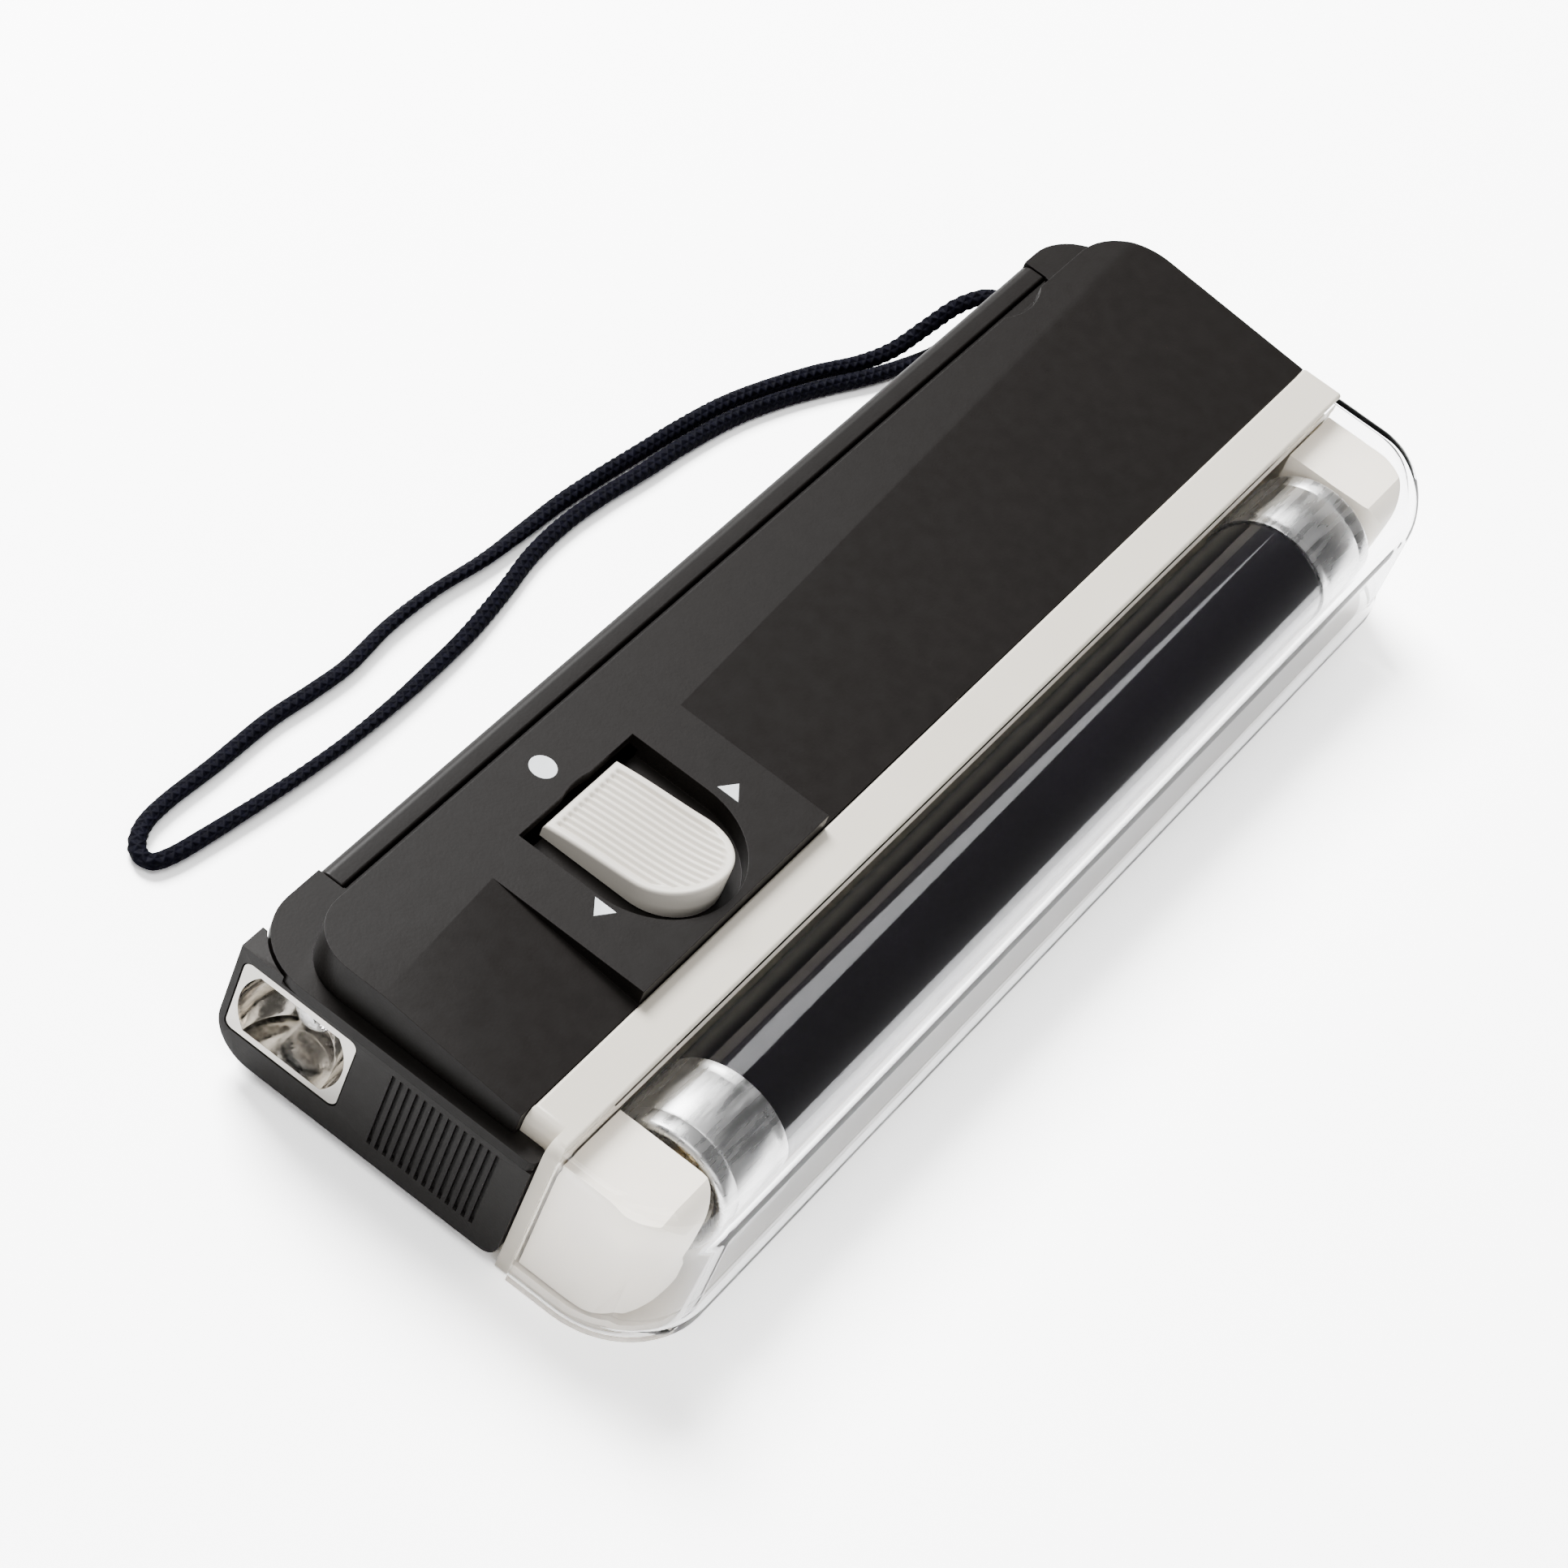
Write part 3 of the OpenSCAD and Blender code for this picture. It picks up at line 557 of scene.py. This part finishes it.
def make_knob():
    """A saddle-topped knob with a plain border and rounded grip ribs."""
    low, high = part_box("switch_knob")
    middle = (low.x + high.x) / 2 / MM
    r = (high.x - low.x) / 2 / MM
    back = high.y / MM
    length = (high.y - low.y) / MM
    rows = [(i / KNOB_ROWS * (length - r), r) for i in range(KNOB_ROWS + 1)]
    rows += [
        (length - r + r * math.sin(math.radians(a)), r * math.cos(math.radians(a)))
        for a in range(2, 90, 2)
    ]
    form = bmesh.new()
    grid = []
    for down, half in rows:
        line = []
        for k in range(KNOB_ACROSS + 1):
            x = half * math.sin(math.pi / 2 * (2 * k / KNOB_ACROSS - 1))
            from_side = r - math.hypot(x, max(0, down - (length - r)))
            edge = min(from_side, down)
            z = knob_height(down / length)
            inside = min(1, max(0, (edge - KNOB_BORDER) / KNOB_BLEND))
            wave = 0.5 + 0.5 * math.cos(2 * math.pi * x / RIB_PITCH)
            z += inside * (RIB_HEIGHT * wave - RIB_DROP)
            if edge < KNOB_EDGE:
                z -= KNOB_EDGE - math.sqrt(max(0, KNOB_EDGE ** 2 - (KNOB_EDGE - edge) ** 2))
            line.append(form.verts.new(((middle + x) * MM, (back - down) * MM, z * MM)))
        grid.append(line)
    for a, b in zip(grid, grid[1:]):
        for k in range(KNOB_ACROSS):
            form.faces.new((a[k], a[k + 1], b[k + 1], b[k]))
    rim = grid[0] + [line[-1] for line in grid[1:]]
    rim += list(reversed(grid[-1][:-1])) + [line[0] for line in reversed(grid[1:-1])]
    foot = [form.verts.new((v.co.x, v.co.y, KNOB_FOOT * MM)) for v in rim]
    n = len(rim)
    for k in range(n):
        m = (k + 1) % n
        form.faces.new((rim[k], rim[m], foot[m], foot[k]))
    form.faces.new(foot)
    stem = bmesh.ops.create_cube(form, size=1)["verts"]
    bmesh.ops.scale(form, vec=Vector(STEM_SIZE) * MM, verts=stem)
    bmesh.ops.translate(form, vec=Vector((middle, STEM_Y, STEM_Z)) * MM, verts=stem)
    bmesh.ops.recalc_face_normals(form, faces=form.faces)
    mesh = bpy.data.meshes.new("knob")
    form.to_mesh(mesh)
    form.free()
    knob = link("knob_moulding", mesh)
    smooth(mesh, 50)
    finish_piece(knob, "switch_knob", knob_cream)


make_knob()

# ---- lamp -----------------------------------------------------------------------

GLASS_LOW, GLASS_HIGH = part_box("uv_tube")
LAMP_Y = (GLASS_LOW.y + GLASS_HIGH.y) / 2 / MM
LAMP_Z = (GLASS_LOW.z + GLASS_HIGH.z) / 2 / MM
GLASS_R = (GLASS_HIGH.y - GLASS_LOW.y) / 2 / MM
GLASS_HALF = GLASS_HIGH.x / MM
GLASS_WALL = 0.7
CAP_ROLL = 0.7
CAP_GROOVE = 0.12


def make_glass():
    """The lamp's glass, open into its caps."""
    inner = GLASS_R - GLASS_WALL
    profile = [
        (-GLASS_HALF, inner), (-GLASS_HALF, GLASS_R), (GLASS_HALF, GLASS_R),
        (GLASS_HALF, inner), (-GLASS_HALF, inner)]
    tube = moved(lathe("lamp_glass", profile), 0, LAMP_Y, LAMP_Z)
    smooth(tube.data)
    finish_piece(tube, "uv_tube", uv_glass)


def make_cap(node, side):
    """A drawn cap with a rolled rim and a shallow groove near each end."""
    low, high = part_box(node)
    end = (low.x if side < 0 else high.x) / MM
    mouth = (high.x if side < 0 else low.x) / MM
    r = (high.y - low.y) / 2 / MM
    inward = -side
    profile = [(end + inward * 1.2, 0)]
    profile += [(end + inward * 1.2, 5.8), (end + inward * 0.3, 6.6)]
    profile += [
        (end + inward * (CAP_ROLL - CAP_ROLL * math.cos(a)), r - CAP_ROLL + CAP_ROLL * math.sin(a))
        for a in [math.radians(d) for d in range(0, 91, 15)]
    ]
    profile += [(end + inward * 2.2, r), (end + inward * 2.5, r - CAP_GROOVE)]
    profile += [(end + inward * 2.8, r), (mouth - inward * 1.6, r)]
    profile += [
        (mouth - inward * 1.2, r - CAP_GROOVE), (mouth - inward * 0.8, r), (mouth, r - 0.05)]
    profile += [(mouth, GLASS_R + 0.04), (end + inward * 2.4, GLASS_R + 0.04)]
    profile += [(end + inward * 2.4, 0)]
    cap = moved(lathe(node + "_shell", profile), 0, LAMP_Y, LAMP_Z)
    smooth(cap.data, 40)
    finish_piece(cap, node, aluminium)


make_glass()
make_cap("tube_cap_near", -1)
make_cap("tube_cap_far", 1)

# ---- clear cover ------------------------------------------------------------------

COVER_EDGE = -11.2
COVER_WALL = 1.2
NEAR_R = 10.5
FAR_R = 7.5
TOP_R_SIDE = 7
TOP_R_END = 2
FLANGE = 0.45
FLANGE_LINES = ((0.1, 0.25), (0.3, 0.45), (1.8, 0.45), (2.0, 0.25), (2.05, 0))


def cover_line(half, outer, near, far, z, form):
    """One open U line of the cover at height z, from the near end round to the far end."""
    arc = [math.radians(d) for d in range(0, 91, 6)]
    spots = [(-half, COVER_EDGE)]
    spots += [
        (-half + near * (1 - math.cos(a)), outer + near * (1 - math.sin(a))) for a in arc]
    spots += [(half - far * (1 - math.sin(a)), outer + far * (1 - math.cos(a))) for a in arc]
    spots += [(half, COVER_EDGE)]
    return [form.verts.new((x * MM, y * MM, z * MM)) for x, y in spots]


def cover_skin(form, inset, foot):
    """The cover's outside, or its inside when inset is the wall, as a list of lines."""
    low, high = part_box("tube_cover")
    half = high.x / MM - inset
    outer = low.y / MM + FLANGE + inset
    top = high.z / MM - inset
    side, end = TOP_R_SIDE - inset, TOP_R_END - inset
    lines = []
    if foot:
        for z, spread in FLANGE_LINES:
            lines.append(
                cover_line(half, outer - spread, NEAR_R + spread, FAR_R + spread, z, form))
    else:
        lines.append(cover_line(half, outer, NEAR_R - inset, FAR_R - inset, 0.1, form))
    for d in range(0, 91, 6):
        a = math.radians(d)
        z = top - side + side * math.sin(a)
        rise = max(0, z - (top - end))
        pull = end - math.sqrt(max(0, end * end - rise * rise))
        tuck = side * (1 - math.cos(a))
        shrink = inset + 0.5 * tuck
        lines.append(
            cover_line(half - pull, outer + tuck, NEAR_R - shrink, FAR_R - shrink, z, form))
    for a, b in zip(lines, lines[1:]):
        for k in range(len(a) - 1):
            form.faces.new((a[k], a[k + 1], b[k + 1], b[k]))
    form.faces.new(lines[-1])
    return lines


def make_cover():
    """Clear cover: a thin open tray, upside down, with a foot flange."""
    form = bmesh.new()
    out = cover_skin(form, 0, True)
    inn = cover_skin(form, COVER_WALL, False)
    for k in range(len(out[0]) - 1):
        form.faces.new((out[0][k], out[0][k + 1], inn[0][k + 1], inn[0][k]))
    for at in (0, -1):
        strip = [line[at] for line in out] + [line[at] for line in reversed(inn)]
        form.faces.new(strip)
    form.faces.new((out[-1][0], out[-1][-1], inn[-1][-1], inn[-1][0]))
    bmesh.ops.recalc_face_normals(form, faces=form.faces)
    mesh = bpy.data.meshes.new("clear_cover")
    form.to_mesh(mesh)
    form.free()
    smooth(mesh, 30)
    finish_piece(link("clear_cover", mesh), "tube_cover", clear)


make_cover()

# ---- pieces that keep their CAD shape ---------------------------------------------

PLAIN_NODES = {
    "torch_bulb": bulb_glass,
    "torch_socket": ivory,
    "tube_pins": brass,
    "switch_slider": ivory,
    "switch_body": plated,
    "cell_terminals": plated,
    "contact_springs": plated,
    "contact_plates": plated,
    "housing_screws": plated,
    "index_marks": ink,
    "circuit_board": plain("laminate", (0.42, 0.27, 0.10), 0.5),
    "transformer": plain("ferrite", (0.09, 0.085, 0.085), 0.55),
    "transistor": plain("moulded_black", (0.03, 0.03, 0.03), 0.35),
    "capacitors": plain("dipped_brown", (0.22, 0.07, 0.03), 0.3),
    "lamp_wires": plain("red_sleeve", (0.5, 0.03, 0.03), 0.45),
    "torch_wires": plain("black_sleeve", (0.02, 0.02, 0.02), 0.45),
    "battery_wires": plain("yellow_sleeve", (0.6, 0.45, 0.05), 0.45),
}
CELL_WRAP = plain("cell_wrap", (0.05, 0.06, 0.09), 0.3, Coat_Weight=0.5)
PLAIN_NODES.update({f"cell_{i}": CELL_WRAP for i in range(1, 5)})

for node, mat in PLAIN_NODES.items():
    mesh = frame["nodes"][node].data
    mesh.materials.clear()
    mesh.materials.append(mat)

# ---- floor and light ----------------------------------------------------------------


FLOOR_WHITE = 0.85
FLOOR_SEEN = 2.9  # over 1, so that the camera sees a burnt-out white


def floor_material():
    """White floor, brighter for the camera than for the light it throws back."""
    mat = bpy.data.materials.new("floor_white")
    mat.use_nodes = True
    nodes, links = mat.node_tree.nodes, mat.node_tree.links
    nodes.remove(nodes["Principled BSDF"])
    diffuse = nodes.new("ShaderNodeBsdfDiffuse")
    path = nodes.new("ShaderNodeLightPath")
    gain = nodes.new("ShaderNodeMapRange")
    gain.inputs["To Min"].default_value = FLOOR_WHITE
    gain.inputs["To Max"].default_value = FLOOR_SEEN
    seen = nodes.new("ShaderNodeMath")
    seen.operation = "MAXIMUM"
    links.new(path.outputs["Is Camera Ray"], seen.inputs[0])
    links.new(path.outputs["Is Transmission Ray"], seen.inputs[1])
    links.new(seen.outputs[0], gain.inputs["Value"])
    links.new(gain.outputs["Result"], diffuse.inputs["Color"])
    links.new(diffuse.outputs["BSDF"], nodes["Material Output"].inputs["Surface"])
    return mat


FLOOR_GAP = 0.00005


def make_stage():
    """A plain pale floor."""
    form = bmesh.new()
    bmesh.ops.create_grid(form, x_segments=1, y_segments=1, size=3)
    mesh = bpy.data.meshes.new("floor")
    form.to_mesh(mesh)
    form.free()
    floor = link("floor", mesh)
    floor.location.z = CAD_BOUNDS[0][2] - FLOOR_GAP
    floor.data.materials.append(floor_material())


LIGHT_AIM = Vector((0, 0, 0.01))
WORLD_STOPS = ((0.0, 0.5), (0.12, 0.3), (0.4, 0.17), (0.65, 0.12), (0.8, 0.12), (0.95, 0.5))


def area_light(name, place, size, power):
    """A soft box at place, turned to the object."""
    data = bpy.data.lights.new(name, "AREA")
    data.shape = "RECTANGLE"
    data.size, data.size_y = size
    data.energy = power
    lamp = bpy.data.objects.new(name, data)
    bpy.context.scene.collection.objects.link(lamp)
    lamp.location = place
    lamp.rotation_euler = (LIGHT_AIM - Vector(place)).to_track_quat("-Z", "Y").to_euler()


def make_world():
    """A soft surround: bright at the horizon and overhead, darker between."""
    world = bpy.data.worlds.new("studio")
    world.use_nodes = True
    nodes, links = world.node_tree.nodes, world.node_tree.links
    place = nodes.new("ShaderNodeTexCoord")
    parts = nodes.new("ShaderNodeSeparateXYZ")
    ramp = nodes.new("ShaderNodeValToRGB")
    links.new(place.outputs["Generated"], parts.inputs["Vector"])
    links.new(parts.outputs["Z"], ramp.inputs["Fac"])
    links.new(ramp.outputs["Color"], nodes["Background"].inputs["Color"])
    while len(ramp.color_ramp.elements) < len(WORLD_STOPS):
        ramp.color_ramp.elements.new(0.5)
    for element, (spot, grey) in zip(ramp.color_ramp.elements, WORLD_STOPS):
        element.position = spot
        element.color = (grey, grey, grey, 1)
    nodes["Background"].inputs["Strength"].default_value = 1.0
    bpy.context.scene.world = world


make_stage()
make_world()
area_light("key_box", (0.3, 0.7, 0.75), (0.45, 0.45), 38)
area_light("fill_box", (-0.5, -0.7, 0.55), (0.9, 0.5), 4)
area_light("top_box", (-0.35, 0.0, 1.05), (0.5, 0.5), 4)
area_light("rim_box", (0.7, 0.45, 0.75), (0.35, 0.35), 2)
